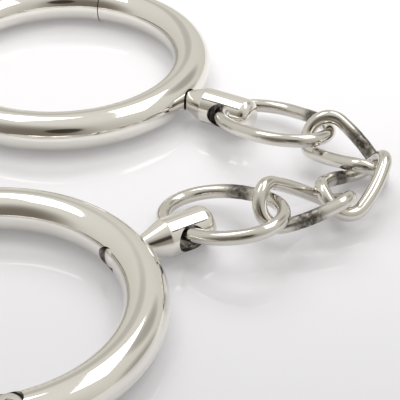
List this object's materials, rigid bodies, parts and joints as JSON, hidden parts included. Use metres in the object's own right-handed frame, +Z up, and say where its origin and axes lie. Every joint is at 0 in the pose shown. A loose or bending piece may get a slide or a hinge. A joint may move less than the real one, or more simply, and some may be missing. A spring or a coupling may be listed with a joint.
{
  "type": "handcuffs",
  "caption": "Polished steel handcuffs: round-bar ring cuffs that open on a hinge and lock with a turning pin, joined by swivels and a short chain of oval and twisted links.",
  "frame": {"origin": "on the ground under the middle of the bounding box, with both rings lying flat", "axes": "+Z up, +Y from the near ring to the far ring, +X from the rings towards the chain"},
  "size_m": [0.1322, 0.183, 0.0134],
  "materials": {
    "polished_steel": "mirror polished",
    "pins": "ground and polished",
    "chain": "polished, heat tinted at the welds"
  },
  "bodies": {
    "near_cuff": {"near_swivel_half": "polished_steel", "near_hinge_pin": "pins"},
    "near_opening": {"near_opening_half": "polished_steel"},
    "near_lock": {"near_lock_pin": "pins", "near_lock_collar": "pins"},
    "near_swivel": {"near_swivel_body": "polished_steel", "near_swivel_rivet": "pins", "near_swivel_washer": "pins"},
    "near_oval_link": {"near_oval_link": "chain"},
    "curb_link_1": {"curb_link_1": "chain"},
    "curb_link_2": {"curb_link_2": "chain"},
    "curb_link_3": {"curb_link_3": "chain"},
    "far_oval_link": {"far_oval_link": "chain"},
    "far_swivel": {"far_swivel_body": "polished_steel", "far_swivel_rivet": "pins", "far_swivel_washer": "pins"},
    "far_cuff": {"far_swivel_half": "polished_steel", "far_hinge_pin": "pins"},
    "far_opening": {"far_opening_half": "polished_steel"},
    "far_lock": {"far_lock_pin": "pins", "far_lock_collar": "pins"}
  },
  "joints": [
    {"name": "near_cuff_opening", "type": "hinge", "parent": "near_cuff", "child": "near_opening", "pos_m": [-0.05332, -0.02591, 0.005], "axis": [0, 0, -1], "range_deg": [0, 90]},
    {"name": "near_lock_turn", "type": "hinge", "parent": "near_cuff", "child": "near_lock", "pos_m": [-0.01621, -0.08451, 0.005], "axis": [0, 0, 1], "range_deg": [0, 180]},
    {"name": "near_swivel_turn", "type": "hinge", "parent": "near_swivel", "child": "near_cuff", "pos_m": [-0.0261, -0.05156, 0.005], "axis": [0.8508, 0.5255, 0], "continuous": true},
    {"name": "near_oval_swing", "type": "hinge", "parent": "near_swivel", "child": "near_oval_link", "pos_m": [0.0161, -0.0255, 0.005], "axis": [0.5226, -0.8462, 0.1045], "range_deg": [-60, 60]},
    {"name": "curb_1_swing", "type": "hinge", "parent": "near_oval_link", "child": "curb_link_1", "pos_m": [0.03884, -0.02337, 0.00915], "axis": [-0.0429, 0.9851, -0.1666], "range_deg": [-10, 50]},
    {"name": "curb_2_swing", "type": "hinge", "parent": "curb_link_1", "child": "curb_link_2", "pos_m": [0.04885, -0.00957, 0.00744], "axis": [0.3954, 0.8404, -0.3708], "range_deg": [-2, 50]},
    {"name": "curb_3_swing", "type": "hinge", "parent": "curb_link_2", "child": "curb_link_3", "pos_m": [0.05455, -0.00111, 0.00326], "axis": [0.6297, 0.6941, -0.349], "range_deg": [-2, 50]},
    {"name": "far_oval_swing", "type": "hinge", "parent": "curb_link_3", "child": "far_oval_link", "pos_m": [0.05215, 0.01413, 0.00685], "axis": [0.0517, 0.9732, -0.2241], "range_deg": [-5, 50]},
    {"name": "far_swivel_swing", "type": "hinge", "parent": "far_oval_link", "child": "far_swivel", "pos_m": [0.02706, 0.0262, 0.005], "axis": [-0.4943, -0.863, 0.1045], "range_deg": [-60, 60]},
    {"name": "far_swivel_turn", "type": "hinge", "parent": "far_swivel", "child": "far_cuff", "pos_m": [-0.0172, 0.05154, 0.005], "axis": [0.8678, -0.497, 0], "continuous": true},
    {"name": "far_cuff_opening", "type": "hinge", "parent": "far_cuff", "child": "far_opening", "pos_m": [-0.00764, 0.0877, 0.005], "axis": [0, 0, -1], "range_deg": [0, 90]},
    {"name": "far_lock_turn", "type": "hinge", "parent": "far_cuff", "child": "far_lock", "pos_m": [-0.04144, 0.02713, 0.005], "axis": [0, 0, 1], "range_deg": [0, 180]}
  ]
}
